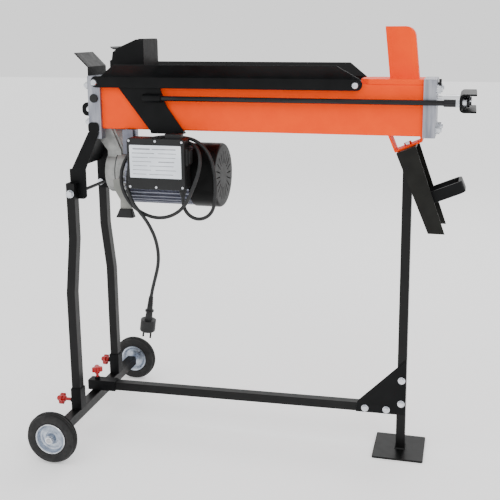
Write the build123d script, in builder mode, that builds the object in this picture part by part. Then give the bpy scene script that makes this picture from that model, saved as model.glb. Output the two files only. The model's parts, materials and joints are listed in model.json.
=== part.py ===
from build123d import *
from math import cos, pi, radians, sin, sqrt, tan
import os

# Horizontal electric log splitter on a wheeled stand.
# X runs along the ram: the pump end is at -X and the wedge end at +X. Y is across, Z is up.
# The origin is on the floor, under the middle of the machine. All lengths are in millimetres.

# --- Driving dimensions: stand ---
wheel_radius = 64.0
wheel_width = 28.0
wheel_offset = 251.0
rim_radius = 38.0
hub_radius = 10.0
axle_x = -452.0
axle_z = wheel_radius
axle_tube_size = 25.0
pin_radius = 6.0
running_gap = 0.06
tube_size = 22.0
tube_wall = 2.0
socket_size = 27.0
socket_wall = 2.0
leg_x = -450.0
leg_top_z = 662.0
leg_upper_bend_z = 520.0
leg_lower_bend_z = 388.0
leg_upper_y = 89.0
leg_lower_y = 115.0
leg_socket_top = 133.0
knob_levels = {-1: 97.0, 1: 111.0}
base_left_x = -474.0
base_left_z = 91.8
base_rise = 0.019
post_x = 366.0
post_top_z = 741.0
leg_pin_z = 722.0
foot_plate_size = 124.0
foot_plate_thick = 5.0

# --- Driving dimensions: splitting frame ---
beam_left = -378.0
beam_right = 400.0
beam_width = 104.0
beam_bottom = 794.0
beam_top = 910.0
beam_wall = 4.0
head_half_width = 60.0
left_head_thick = 32.0
left_head_bottom = 770.0
head_top = 923.0
right_head_thick = 28.0
sheet = 3.0

# --- Driving dimensions: ram ---
ram_z = 872.0
ram_stroke = 440.0
bore_radius = 28.0
cylinder_wall = 5.0
rod_radius = 13.0
tie_rod_radius = 6.0
tie_rod_y = 67.5
pusher_face_x = -266.0
pusher_top = 1012.0
yoke_x = 479.0
yoke_half_width = 82.0

# --- Driving dimensions: wedge ---
wedge_edge_x = 319.0
wedge_length = 68.0
wedge_half_width = 24.0
wedge_top = 1039.0
wedge_lean = 6.2
wedge_plate_left = 257.0
wedge_plate_thick = 12.0

# --- Driving dimensions: drive ---
motor_z = 680.0
motor_left = -318.0
motor_right = -150.0
fan_cover_right = -85.0
motor_radius = 77.0
fan_cover_radius = 79.5
casting_left = -376.0
drum_length = 27.0
casting_radius = 55.0
shaft_radius = 7.0
gear_teeth = 12
gear_pitch_radius = 15.0
gear_width = 26.0
box_left = -287.0
box_right = -143.0
box_front = -120.0
box_back = -80.0
box_bottom = 660.0
box_top = 782.0

# --- Driving dimensions: cord ---
cord_radius = 4.25

beam_mid = (beam_bottom + beam_top) / 2
socket_inner = socket_size - 2 * socket_wall
left_head_x = beam_left - left_head_thick
right_head_x = beam_right + right_head_thick

os.makedirs("parts", exist_ok=True)


def finish(piece, label):
    """Labels a finished piece and writes its STEP file."""
    piece.part.label = label
    export_step(piece.part, f"parts/{label}.step")


def square_section(width, wall):
    """Draws a square tube's section in the open sketch."""
    Rectangle(width, width)
    Rectangle(width - 2 * wall, width - 2 * wall, mode=Mode.SUBTRACT)


# --- Axle, sockets and base ---
axle_half = wheel_offset - wheel_width / 2 - 8.0
with BuildPart() as axle_tube:
    with BuildSketch(Plane.XZ.offset(-axle_half)):
        with Locations((axle_x, axle_z)):
            square_section(axle_tube_size, tube_wall)
    extrude(amount=2 * axle_half)
finish(axle_tube, "axle_tube")

axle_top = axle_z + axle_tube_size / 2
plug_size = axle_tube_size - 2 * tube_wall
pin_end = wheel_offset + wheel_width / 2 + 6.0
with BuildPart() as axle_pins:
    for side in (-1, 1):
        with BuildSketch(Plane((axle_x, side * (axle_half - 22.0), axle_z), z_dir=(0, side, 0))):
            Rectangle(plug_size, plug_size)
        extrude(amount=22.0)
        with BuildSketch(Plane((axle_x, side * axle_half, axle_z), z_dir=(0, side, 0))):
            Circle(pin_radius)
        extrude(amount=pin_end - axle_half)
finish(axle_pins, "axle_pins")

base_plane = Plane((base_left_x, 0, base_left_z), x_dir=(0, 1, 0), z_dir=(1, 0, 0))
base_length = post_x - tube_size / 2 - base_left_x
with BuildPart() as stand_sockets:
    for side in (-1, 1):
        with BuildSketch(Plane((leg_x, side * leg_lower_y, axle_top))):
            square_section(socket_size, socket_wall)
        extrude(amount=leg_socket_top - axle_top)
        nut_plane = Plane((leg_x - socket_size / 2, side * leg_lower_y, knob_levels[side]), z_dir=(-1, 0, 0))
        with BuildSketch(nut_plane):
            RegularPolygon(7.5, 6)
        extrude(amount=6.0)
        with BuildSketch(nut_plane.offset(-4.0)):
            Circle(4.05)
        extrude(amount=12.0, mode=Mode.SUBTRACT)
    with BuildSketch(base_plane):
        square_section(socket_size, socket_wall)
    extrude(amount=78.0, dir=(1, 0, base_rise))
    with BuildSketch(Plane((axle_x, 0, axle_top))):
        Rectangle(20.0, 20.0)
    extrude(amount=3.0)
    base_nut_z = base_left_z + base_rise * (axle_x - base_left_x) + socket_size / 2
    with BuildSketch(Plane((axle_x, 0, base_nut_z - 0.6))):
        RegularPolygon(7.5, 6)
    extrude(amount=6.6)
    with BuildSketch(Plane((axle_x, 0, base_nut_z - 3.5))):
        Circle(4.05)
    extrude(amount=12.0, mode=Mode.SUBTRACT)
finish(stand_sockets, "stand_sockets")

with BuildPart() as base_tube:
    with BuildSketch(base_plane):
        square_section(tube_size, tube_wall)
    extrude(amount=base_length, dir=(1, 0, base_rise))
finish(base_tube, "base_tube")

# --- Legs: square tubes that spread in two bends ---
leg_bolt_z = 636.0
for side, name in ((-1, "front_leg"), (1, "rear_leg")):
    stations = (
        (side * leg_lower_y, axle_top + 3.0),
        (side * leg_lower_y, leg_lower_bend_z),
        (side * leg_upper_y, leg_upper_bend_z),
        (side * leg_upper_y, leg_top_z),
    )
    with BuildPart() as leg:
        for half, mode in ((tube_size / 2, Mode.ADD), (tube_size / 2 - tube_wall, Mode.SUBTRACT)):
            left_side = [(y - half, z) for y, z in stations]
            right_side = [(y + half, z) for y, z in stations]
            with BuildSketch(Plane.YZ.offset(leg_x - half)):
                with BuildLine():
                    Polyline(*left_side, *reversed(right_side), close=True)
                make_face()
            extrude(amount=2 * half, mode=mode)
        with BuildSketch(Plane.XZ.offset(-side * leg_upper_y)):
            with Locations((leg_x, leg_bolt_z)):
                Circle(5.1)
        extrude(amount=tube_size, both=True, mode=Mode.SUBTRACT)
    finish(leg, name)

# --- Post with its welded foot plate ---
with BuildPart() as post:
    with BuildSketch(Plane((post_x - 3.0, 0, 0))):
        Rectangle(foot_plate_size, foot_plate_size)
    extrude(amount=foot_plate_thick)
    fillet(post.edges().filter_by(Axis.Z), 4.0)
    with BuildSketch(Plane((post_x, 0, foot_plate_thick))):
        square_section(tube_size, tube_wall)
    extrude(amount=post_top_z - foot_plate_thick)
    with BuildSketch(Plane((post_x, 0, foot_plate_thick))):
        Rectangle(tube_size + 7.0, tube_size + 7.0)
        Rectangle(tube_size, tube_size, mode=Mode.SUBTRACT)
    extrude(amount=4.0, taper=40.0)
    with BuildSketch(Plane.XZ):
        with Locations((post_x, leg_pin_z)):
            Circle(4.1)
    extrude(amount=tube_size, both=True, mode=Mode.SUBTRACT)
finish(post, "post")

# --- Gusset plate and stand bolts ---
gusset_y = -tube_size / 2
post_right = post_x + tube_size / 2
base_right_z = base_left_z + base_rise * base_length
gusset_bolts = ((277.0, 106.0), (330.0, 107.0), (post_x, 187.0), (post_x, 126.0))
with BuildPart() as gusset_plate:
    with BuildSketch(Plane.XZ.offset(-gusset_y)):
        with BuildLine():
            Polyline(
                (254.0, base_right_z - 13.0),
                (post_right, base_right_z - 11.0),
                (post_right, 242.0),
                (258.0, 123.0),
                close=True,
            )
        make_face()
        with Locations(*gusset_bolts):
            Circle(4.2, mode=Mode.SUBTRACT)
    extrude(amount=sheet)
finish(gusset_plate, "gusset_plate")

with BuildPart() as stand_bolts:
    for bolt_x, bolt_z in gusset_bolts:
        face = Plane((bolt_x, gusset_y - sheet, bolt_z), z_dir=(0, -1, 0))
        with BuildSketch(face):
            Circle(9.0)
        extrude(amount=1.6)
        with BuildSketch(face.offset(1.6)):
            RegularPolygon(7.3, 6)
        extrude(amount=5.0)
        with BuildSketch(face):
            Circle(4.0)
        extrude(amount=-sheet + 0.2)
    for side in (-1, 1):
        outer = Plane((leg_x, side * (leg_upper_y + tube_size / 2), leg_bolt_z), z_dir=(0, side, 0))
        with BuildSketch(outer):
            Circle(10.0)
        extrude(amount=1.6)
        with BuildSketch(outer.offset(1.6)):
            RegularPolygon(9.2, 6)
        extrude(amount=7.0)
        with BuildSketch(outer):
            Circle(4.95)
        extrude(amount=-tube_size - sheet - 6.0)
        with BuildSketch(outer.offset(-tube_size - sheet)):
            RegularPolygon(9.2, 6)
        extrude(amount=-6.0)
        nut_plane = Plane((axle_x, side * (pin_end - 4.5), axle_z), z_dir=(0, side, 0))
        with BuildSketch(nut_plane):
            Circle(9.0)
            Circle(pin_radius + 0.02, mode=Mode.SUBTRACT)
        extrude(amount=4.0)
finish(stand_bolts, "stand_bolts")

# --- Wheels ---
tyre_half = wheel_width / 2
for side, name in ((-1, "front"), (1, "rear")):
    wheel_plane = Plane((axle_x, side * wheel_offset, axle_z), x_dir=(1, 0, 0), z_dir=(0, 0, 1))
    wheel_axis = Axis((axle_x, side * wheel_offset, axle_z), (0, 1, 0))
    with BuildPart() as tyre:
        with BuildSketch(wheel_plane):
            with BuildLine():
                Polyline(
                    (rim_radius, -tyre_half + 4.0),
                    (wheel_radius - 9.0, -tyre_half),
                    (wheel_radius - 3.0, -tyre_half + 5.0),
                )
                ThreePointArc(
                    (wheel_radius - 3.0, -tyre_half + 5.0),
                    (wheel_radius, 0),
                    (wheel_radius - 3.0, tyre_half - 5.0),
                )
                Polyline(
                    (wheel_radius - 3.0, tyre_half - 5.0),
                    (wheel_radius - 9.0, tyre_half),
                    (rim_radius, tyre_half - 4.0),
                    (rim_radius, -tyre_half + 4.0),
                )
            make_face()
        revolve(axis=wheel_axis)
    finish(tyre, f"tyre_{name}")
    with BuildPart() as rim:
        with BuildSketch(wheel_plane):
            with BuildLine():
                Polyline(
                    (pin_radius + running_gap, -tyre_half - 1.0),
                    (hub_radius, -tyre_half - 1.0),
                    (hub_radius, -3.0),
                    (rim_radius - 7.0, -3.0 - 3.0 * side),
                    (rim_radius - 4.0, -tyre_half + 3.0),
                    (rim_radius, -tyre_half + 3.0),
                    (rim_radius, tyre_half - 3.0),
                    (rim_radius - 4.0, tyre_half - 3.0),
                    (rim_radius - 7.0, 3.0 - 3.0 * side),
                    (hub_radius, 3.0),
                    (hub_radius, tyre_half + 1.0),
                    (pin_radius + running_gap, tyre_half + 1.0),
                    close=True,
                )
            make_face()
        revolve(axis=wheel_axis)
    finish(rim, f"rim_{name}")

# --- Clamp knobs: three-lobed head, neck and screw ---
front_seat = Plane((leg_x - tube_size / 2 - 0.5, -leg_lower_y, knob_levels[-1]), z_dir=(-1, 0, 0))
rear_seat = Plane((leg_x - tube_size / 2 - 0.5, leg_lower_y, knob_levels[1]), z_dir=(-1, 0, 0))
base_seat = Plane((axle_x, 0, base_nut_z - socket_wall + 0.4), z_dir=(0, 0, 1))
for seat, stud, name in ((front_seat, 25.0, "front"), (rear_seat, 10.0, "rear"), (base_seat, 18.0, "base")):
    with BuildPart() as knob:
        with BuildSketch(seat):
            Circle(4.0)
        extrude(amount=stud)
        with BuildSketch(seat.offset(stud)):
            Circle(7.0)
        extrude(amount=6.0, taper=-12.0)
        with BuildSketch(seat.offset(stud + 6.0)):
            Circle(9.0)
            with PolarLocations(9.5, 3):
                Circle(6.0)
        extrude(amount=12.0)
        fillet(knob.faces().sort_by(Axis(seat.origin, seat.z_dir))[-1].edges(), 2.0)
    finish(knob, f"clamp_knob_{name}")

# --- Beam and its two heads ---
with BuildPart() as beam:
    with BuildSketch(Plane.YZ.offset(beam_left)):
        with Locations((0, beam_mid)):
            RectangleRounded(beam_width, beam_top - beam_bottom, 5.0)
            Rectangle(
                beam_width - 2 * beam_wall,
                beam_top - beam_bottom - 2 * beam_wall,
                mode=Mode.SUBTRACT,
            )
    extrude(amount=beam_right - beam_left)
finish(beam, "beam")

stay_y = 42.0
stay_half = 40.0
stay_z = beam_mid + 2.0
stay_radius = 5.0
stay_spots = [(y, z) for y in (-stay_y, stay_y) for z in (stay_z - stay_half - 5.0, stay_z + stay_half + 5.0)]
spigot = 8.0
with BuildPart() as left_head:
    with BuildSketch(Plane.YZ.offset(left_head_x)):
        with Locations((0, (left_head_bottom + head_top) / 2)):
            Rectangle(2 * head_half_width, head_top - left_head_bottom)
        with Locations(*stay_spots):
            Circle(stay_radius + 0.1, mode=Mode.SUBTRACT)
    extrude(amount=left_head_thick)
    with BuildSketch(Plane.YZ.offset(beam_left - spigot)):
        with Locations((0, ram_z)):
            Circle(bore_radius + cylinder_wall + 0.05)
    extrude(amount=spigot, mode=Mode.SUBTRACT)
    chamfer(left_head.faces().sort_by(Axis.Z)[-1].edges().filter_by(Axis.X), 2.0)
    with BuildSketch(Plane.XZ.offset(head_half_width)):
        with Locations((-394.0, 869.0)):
            Circle(7.0)
    extrude(amount=-12.0, mode=Mode.SUBTRACT)
finish(left_head, "left_head")

bleed_z = head_top - 12.0
with BuildPart() as right_head:
    with BuildSketch(Plane.YZ.offset(beam_right)):
        with Locations((0, (beam_bottom - 2.0 + head_top) / 2)):
            Rectangle(2 * head_half_width, head_top - beam_bottom + 2.0)
        with Locations(*stay_spots):
            Circle(stay_radius + 0.1, mode=Mode.SUBTRACT)
        with Locations((0, ram_z)):
            Circle(rod_radius + 0.05, mode=Mode.SUBTRACT)
        with Locations((0, bleed_z)):
            Circle(3.05, mode=Mode.SUBTRACT)
    extrude(amount=right_head_thick)
    with BuildSketch(Plane.YZ.offset(beam_right)):
        with Locations((0, ram_z)):
            Circle(bore_radius + cylinder_wall + 0.05)
    extrude(amount=spigot, mode=Mode.SUBTRACT)
    chamfer(right_head.faces().sort_by(Axis.Z)[-1].edges().filter_by(Axis.X), 2.0)
finish(right_head, "right_head")

plate_outer_x = left_head_x - sheet
with BuildPart() as stay_bolts:
    for stay_at_y, stay_at_z in stay_spots:
        left_end = Plane((plate_outer_x, stay_at_y, stay_at_z), z_dir=(-1, 0, 0))
        right_end = Plane((right_head_x, stay_at_y, stay_at_z), z_dir=(1, 0, 0))
        with BuildSketch(left_end):
            Circle(stay_radius)
        extrude(amount=plate_outer_x - right_head_x)
        for end in (left_end, right_end):
            with BuildSketch(end):
                Circle(10.0)
            extrude(amount=1.6)
            with BuildSketch(end.offset(1.6)):
                RegularPolygon(9.2, 6)
            extrude(amount=8.0)
            with BuildSketch(end.offset(9.6)):
                Circle(stay_radius)
            extrude(amount=4.0)
finish(stay_bolts, "stay_bolts")

with BuildPart() as filler_plug:
    plug_face = Plane((-394.0, -head_half_width, 869.0), z_dir=(0, -1, 0))
    with BuildSketch(plug_face.offset(-10.0)):
        Circle(6.95)
    extrude(amount=10.0)
    with BuildSketch(plug_face):
        Circle(10.5)
    extrude(amount=5.0)
    chamfer(filler_plug.faces().sort_by(Axis.Y)[0].edges(), 1.2)
finish(filler_plug, "filler_plug")

with BuildPart() as bleed_screw:
    bleed_face = Plane((right_head_x, 0, bleed_z), x_dir=(0, 1, 0), z_dir=(1, 0, 0))
    with BuildSketch(bleed_face.offset(-14.0)):
        Circle(3.0)
    extrude(amount=19.0)
    with BuildSketch(bleed_face.offset(3.0)):
        Rectangle(5.0, 20.0)
        Circle(5.0)
    extrude(amount=6.0)
finish(bleed_screw, "bleed_screw")

# --- Cylinder, piston and rod ---
piston_left = beam_left + 16.0
piston_length = 40.0
with BuildPart() as cylinder_tube:
    with BuildSketch(Plane.YZ.offset(beam_left - spigot)):
        with Locations((0, ram_z)):
            Circle(bore_radius + cylinder_wall)
            Circle(bore_radius, mode=Mode.SUBTRACT)
    extrude(amount=beam_right - beam_left + 2 * spigot)
finish(cylinder_tube, "cylinder_tube")

seal_gap = 12.0
seal_width = 5.0
piston_plane = Plane.YZ.offset(piston_left)
with BuildPart() as piston:
    with BuildSketch(piston_plane):
        with Locations((0, ram_z)):
            Circle(bore_radius - 0.06)
    extrude(amount=piston_length)
    for step in (1, 2):
        with BuildSketch(piston_plane.offset(step * seal_gap - seal_width / 2)):
            with Locations((0, ram_z)):
                Circle(bore_radius)
                Circle(bore_radius - 5.0, mode=Mode.SUBTRACT)
        extrude(amount=seal_width, mode=Mode.SUBTRACT)
finish(piston, "piston")

with BuildPart() as piston_seals:
    for step in (1, 2):
        with BuildSketch(piston_plane.offset(step * seal_gap - seal_width / 2)):
            with Locations((0, ram_z)):
                Circle(bore_radius - 0.02)
                Circle(bore_radius - 5.0, mode=Mode.SUBTRACT)
        extrude(amount=seal_width)
finish(piston_seals, "piston_seals")

thread_radius = 10.0
yoke_sheet = 6.0
rod_left = piston_left + piston_length
with BuildPart() as piston_rod:
    with BuildSketch(Plane.YZ.offset(rod_left)):
        with Locations((0, ram_z)):
            Circle(rod_radius)
    extrude(amount=yoke_x - rod_left)
    with BuildSketch(Plane.YZ.offset(yoke_x)):
        with Locations((0, ram_z)):
            Circle(thread_radius)
    extrude(amount=yoke_sheet + 20.0)
finish(piston_rod, "piston_rod")

# --- Yoke, tie rods and their nuts ---
yoke_top = 893.0
yoke_bottom = 852.0
with BuildPart() as yoke:
    with BuildSketch(Plane.XZ.offset(-yoke_half_width)):
        with BuildLine():
            spine = FilletPolyline(
                (yoke_x + 35.0, yoke_top - 2.0),
                (yoke_x + 2.0, yoke_top - 2.0),
                (yoke_x + 2.0, yoke_bottom + 2.0),
                (yoke_x + 35.0, yoke_bottom + 2.0),
                radius=8.0,
            )
            offset(spine, 2.0, kind=Kind.TANGENT)
        make_face()
    extrude(amount=2 * yoke_half_width)
    with BuildSketch(Plane.YZ.offset(yoke_x)):
        with Locations((0, ram_z)):
            Rectangle(2 * yoke_half_width, yoke_top - yoke_bottom - 20.0)
    extrude(amount=yoke_sheet)
    with BuildSketch(Plane.YZ.offset(yoke_x)):
        with Locations((0, ram_z)):
            Circle(thread_radius + 0.02)
        with Locations((-tie_rod_y, ram_z), (tie_rod_y, ram_z)):
            Circle(tie_rod_radius + 0.02)
    extrude(amount=yoke_sheet, mode=Mode.SUBTRACT)
finish(yoke, "yoke")

boss_left = -262.0
boss_length = 46.0
nut_x = yoke_x - 8.0
collar_x = yoke_x - 34.0
tie_rod_end = yoke_x + yoke_sheet + 14.0
with BuildPart() as tie_rods:
    for side in (-1, 1):
        with BuildSketch(Plane.YZ.offset(boss_left + 4.0)):
            with Locations((side * tie_rod_y, ram_z)):
                Circle(tie_rod_radius)
        extrude(amount=tie_rod_end - boss_left - 4.0)
        with BuildSketch(Plane.YZ.offset(collar_x)):
            with Locations((side * tie_rod_y, ram_z)):
                Circle(8.5)
        extrude(amount=nut_x - collar_x)
finish(tie_rods, "tie_rods")

with BuildPart() as yoke_nuts:
    for side in (-1, 1):
        for nut_left, nut_thick in ((nut_x, 8.0), (yoke_x + yoke_sheet, 9.0)):
            with BuildSketch(Plane.YZ.offset(nut_left)):
                with Locations((side * tie_rod_y, ram_z)):
                    RegularPolygon(9.8, 6)
                    Circle(tie_rod_radius + 0.02, mode=Mode.SUBTRACT)
            extrude(amount=nut_thick)
    with BuildSketch(Plane.YZ.offset(yoke_x + yoke_sheet)):
        with Locations((0, ram_z)):
            RegularPolygon(15.0, 6)
            Circle(thread_radius + 0.02, mode=Mode.SUBTRACT)
    extrude(amount=16.0)
finish(yoke_nuts, "yoke_nuts")

# --- Pusher, carriage plates and slide shoes ---
cheek_y = 47.0
shoe_thick = 3.0
pusher_bottom = beam_top + shoe_thick
face_thick = 14.0
face_left = pusher_face_x - face_thick
carriage_y = beam_width / 2 + 4.5
carriage_thick = 3.5
carriage_outer = carriage_y + carriage_thick
with BuildPart() as pusher:
    with BuildSketch(Plane.YZ.offset(face_left)):
        with Locations((0, (pusher_bottom + pusher_top) / 2)):
            Rectangle(2 * cheek_y, pusher_top - pusher_bottom)
    extrude(amount=face_thick)
    top_corners = pusher.edges().filter_by(Axis.X).group_by(Axis.Z)[-1]
    chamfer(top_corners, 5.0)
    for side in (-1, 1):
        with BuildSketch(Plane.XZ.offset(side * (cheek_y - sheet / 2) + sheet / 2)):
            with BuildLine():
                outline = Polyline(
                    (face_left, pusher_bottom),
                    (-352.0, pusher_bottom),
                    (-354.0, 936.0),
                    (-354.0, 960.0),
                    (-349.0, 962.0),
                    (-346.0, 980.0),
                    (-334.0, 989.0),
                    (-284.0, pusher_top - 2.0),
                    (face_left, pusher_top - 2.0),
                    close=True,
                )
            make_face()
        extrude(amount=-sheet)
    with BuildSketch(Plane.XZ.offset(cheek_y)):
        with BuildLine():
            Line((face_left, pusher_top - 4.5), (-284.0, pusher_top - 4.5))
            Line((-284.0, pusher_top - 4.5), (-332.0, 987.5))
            ThreePointArc((-332.0, 987.5), (-341.0, 986.5), (-351.0, 991.0))
            Line((-351.0, 991.0), (-352.5, 993.5))
            ThreePointArc((-352.5, 993.5), (-341.0, 989.5), (-332.6, 990.3))
            Line((-332.6, 990.3), (-284.5, pusher_top - 1.5))
            Line((-284.5, pusher_top - 1.5), (face_left, pusher_top - 1.5))
            Line((face_left, pusher_top - 1.5), (face_left, pusher_top - 4.5))
        make_face()
    extrude(amount=-2 * cheek_y)
    with BuildSketch(Plane.XY.offset(pusher_bottom)):
        with Locations(((-330.0 + face_left) / 2, 0)):
            Rectangle(face_left + 330.0, 2 * carriage_outer)
    extrude(amount=5.0)
finish(pusher, "pusher")

with BuildPart() as carriage_plates:
    for side in (-1, 1):
        inner = Plane((0, side * carriage_y, 0), x_dir=(1, 0, 0), z_dir=(0, -1, 0))
        with BuildSketch(inner.offset(0 if side < 0 else -carriage_thick)):
            with BuildLine():
                Polyline(
                    (-329.0, pusher_bottom),
                    (-329.0, 896.0),
                    (-250.0, 793.0),
                    (-248.0, 786.5),
                    (-166.0, 786.5),
                    (-165.0, 794.0),
                    (-205.0, 850.0),
                    (-212.0, 864.0),
                    (-223.0, 897.0),
                    (-223.0, pusher_bottom),
                    close=True,
                )
            make_face()
        extrude(amount=carriage_thick)
        lip_y = side * (carriage_outer - 10.0)
        with BuildSketch(Plane.XY.offset(786.5)):
            with Locations((-207.0, lip_y)):
                Rectangle(82.0, 20.0)
        extrude(amount=3.5)
        boss_plane = Plane.YZ.offset(boss_left)
        with BuildSketch(boss_plane):
            with Locations((side * tie_rod_y, ram_z)):
                Circle(10.0)
            with Locations((side * (carriage_outer - 0.5), ram_z)):
                Rectangle(3.0, 20.0)
        extrude(amount=boss_length)
        with BuildSketch(boss_plane):
            with Locations((side * tie_rod_y, ram_z)):
                Circle(tie_rod_radius + 0.02)
        extrude(amount=boss_length, mode=Mode.SUBTRACT)
        with BuildSketch(boss_plane.offset(-1.0)):
            with Locations((side * carriage_y / 2, ram_z)):
                Rectangle(carriage_y, 30.0)
        extrude(amount=boss_length + 2.0, mode=Mode.SUBTRACT)
finish(carriage_plates, "carriage_plates")

with BuildPart() as slide_shoes:
    for side in (-1, 1):
        for shoe_x in (-316.0, -292.0):
            with BuildSketch(Plane.XY.offset(beam_top + 0.3)):
                with Locations((shoe_x, side * 32.0)):
                    Rectangle(20.0, 26.0)
            extrude(amount=shoe_thick - 0.3)
        with BuildSketch(Plane.XY.offset(beam_bottom - 4.0)):
            with Locations((-207.0, side * 45.5)):
                Rectangle(78.0, 9.0)
        extrude(amount=3.7)
        shoe_y = side * (beam_width / 2 + 0.3)
        with BuildSketch(Plane((-250.0, shoe_y, 0), x_dir=(1, 0, 0), z_dir=(0, -1, 0))):
            with Locations((0, 850.0), (0, 880.0)):
                Rectangle(24.0, 16.0)
        extrude(amount=-side * (carriage_y - beam_width / 2 - 0.3))
finish(slide_shoes, "slide_shoes")

# --- Wedge and its plate ---
with BuildPart() as wedge_plate:
    with BuildSketch(Plane.XY.offset(beam_top)):
        with BuildLine():
            Polyline(
                (wedge_plate_left, -30.0),
                (wedge_plate_left + 20.0, -50.0),
                (beam_right, -50.0),
                (beam_right, 50.0),
                (wedge_plate_left + 20.0, 50.0),
                (wedge_plate_left, 30.0),
                close=True,
            )
        make_face()
    extrude(amount=wedge_plate_thick)
finish(wedge_plate, "wedge_plate")

wedge_bottom = beam_top + wedge_plate_thick
wedge_height = wedge_top - wedge_bottom
lean_run = -wedge_height * tan(radians(wedge_lean))
wedge_back = wedge_edge_x + wedge_length
with BuildPart() as wedge:
    with BuildSketch(Plane.XZ.offset(-wedge_half_width)) as wedge_side:
        with BuildLine():
            Polyline(
                (wedge_edge_x, wedge_bottom),
                (wedge_back, wedge_bottom),
                (wedge_back + lean_run, wedge_top),
                (wedge_edge_x + lean_run, wedge_top),
                close=True,
            )
        make_face()
        fillet(wedge_side.vertices().sort_by(Axis.Y)[-2:].sort_by(Axis.X)[-1], 24.0)
    extrude(amount=2 * wedge_half_width)
    lean = Vector(lean_run, 0, wedge_height)
    with BuildSketch(Plane.XY.offset(wedge_bottom)):
        with BuildLine():
            Polyline(
                (wedge_edge_x, 0),
                (wedge_back - 8.0, -wedge_half_width),
                (wedge_back, -wedge_half_width + 6.0),
                (wedge_back, wedge_half_width - 6.0),
                (wedge_back - 8.0, wedge_half_width),
                close=True,
            )
        make_face()
    extrude(amount=lean.length, dir=lean, mode=Mode.INTERSECT)
finish(wedge, "wedge")

# --- Guards: bent strips either side of the beam ---
guard_left = -398.0
guard_right = 264.0
guard_y = 65.25
guard_fold_z = 922.0
guard_bolt_xs = (-389.0, 248.0)
guard_bolt_z = 908.0
for side, name in ((-1, "front_guard"), (1, "rear_guard")):
    with BuildPart() as guard:
        with BuildSketch(Plane.YZ.offset(guard_left)):
            with BuildLine():
                fold = Polyline(
                    (side * guard_y, 897.0),
                    (side * guard_y, guard_fold_z),
                    (side * 104.0, 952.0),
                )
                offset(fold, 1.25)
            make_face()
        extrude(amount=guard_right - guard_left)
        with BuildSketch(Plane.XZ):
            with BuildLine():
                Polyline(
                    (-372.0, guard_fold_z - 8.0),
                    (258.0, guard_fold_z - 8.0),
                    (258.0, guard_fold_z),
                    (202.0, 960.0),
                    (-306.0, 960.0),
                    (-372.0, guard_fold_z),
                    close=True,
                )
            make_face()
            with Locations(((guard_left + guard_right) / 2, 909.5)):
                RectangleRounded(guard_right - guard_left, 27.4, 13.5)
        extrude(amount=120.0, both=True, mode=Mode.INTERSECT)
        with BuildSketch(Plane.XZ):
            with Locations(*[(bolt_x, guard_bolt_z) for bolt_x in guard_bolt_xs]):
                Circle(4.1)
        extrude(amount=-side * 90.0, mode=Mode.SUBTRACT)
    finish(guard, name)

with BuildPart() as guard_bolts:
    for side in (-1, 1):
        for bolt_x, seat_y in zip(guard_bolt_xs, (head_half_width, beam_width / 2)):
            strip_in = guard_y - 1.25
            inner = Plane((bolt_x, side * seat_y, guard_bolt_z), z_dir=(0, side, 0))
            with BuildSketch(inner):
                Circle(6.0)
            extrude(amount=strip_in - seat_y)
            with BuildSketch(inner.offset(strip_in - seat_y)):
                Circle(4.0)
            extrude(amount=2.5)
            with BuildSketch(inner.offset(strip_in - seat_y + 2.5)):
                Circle(9.0)
            extrude(amount=5.0, taper=25.0)
finish(guard_bolts, "guard_bolts")

# --- End bracket: plate, lip, spread web and cheeks ---
cheek_in = leg_upper_y - tube_size / 2 - sheet
cheek_mid_z = 695.0
web_left = -454.0
with BuildPart() as end_bracket:
    with BuildSketch(Plane.XZ.offset(-49.0)):
        with BuildLine():
            plate = Polyline((left_head_x - 1.5, 765.0), (left_head_x - 1.5, 944.0), (-445.0, 977.0))
            offset(plate, 1.5)
        make_face()
    extrude(amount=98.0)
    with BuildSketch(Plane.XY.offset(cheek_mid_z)):
        with Locations((web_left + sheet / 2, 0)):
            Rectangle(sheet, 2 * (cheek_in + sheet))
    with BuildSketch(Plane.XY.offset(left_head_bottom)):
        with Locations((left_head_x - sheet / 2, 0)):
            Rectangle(sheet, 2 * (head_half_width + 2 * sheet))
    loft()
    for side in (-1, 1):
        with BuildSketch(Plane.XY.offset(cheek_mid_z)):
            with Locations(((web_left - 417.0) / 2, side * (cheek_in + sheet / 2))):
                Rectangle(-417.0 - web_left, sheet)
        with BuildSketch(Plane.XY.offset(786.0)):
            with Locations((-398.0, side * (head_half_width + sheet / 2))):
                Rectangle(28.0, sheet)
        loft()
        with BuildSketch(Plane.XZ.offset(side * (cheek_in + sheet / 2) + sheet / 2)):
            with Locations((-438.5, 658.5)):
                RectangleRounded(43.0, 77.0, 10.0)
            with Locations((-438.5, 690.0)):
                Rectangle(43.0, 10.0)
            with Locations((leg_x, leg_bolt_z)):
                Circle(5.1, mode=Mode.SUBTRACT)
        extrude(amount=-sheet)
        with BuildSketch(Plane.XZ.offset(side * (head_half_width + sheet / 2) + sheet / 2)):
            with Locations((-398.0, 797.0)):
                RectangleRounded(28.0, 26.0, 9.0)
        extrude(amount=-sheet)
    with BuildSketch(Plane.YZ.offset(left_head_x)):
        with Locations(*stay_spots):
            Circle(stay_radius + 0.1)
    extrude(amount=-sheet, mode=Mode.SUBTRACT)
    with BuildSketch(Plane.XZ.offset(14.0)):
        with Locations((left_head_x - sheet - 16.0, 838.0)):
            RectangleRounded(38.0, 34.0, 14.0)
            Circle(8.0, mode=Mode.SUBTRACT)
    extrude(amount=4.0)
    with BuildSketch(Plane.XY.offset(800.0)):
        with Locations((left_head_x + 10.0, 0)):
            Rectangle(20.0, 60.0)
    extrude(amount=80.0, mode=Mode.SUBTRACT)
    with BuildSketch(Plane.XZ.offset(-cheek_in)):
        with Locations((-430.0, 641.0)):
            Circle(4.0)
    extrude(amount=2 * cheek_in)
finish(end_bracket, "end_bracket")

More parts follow.
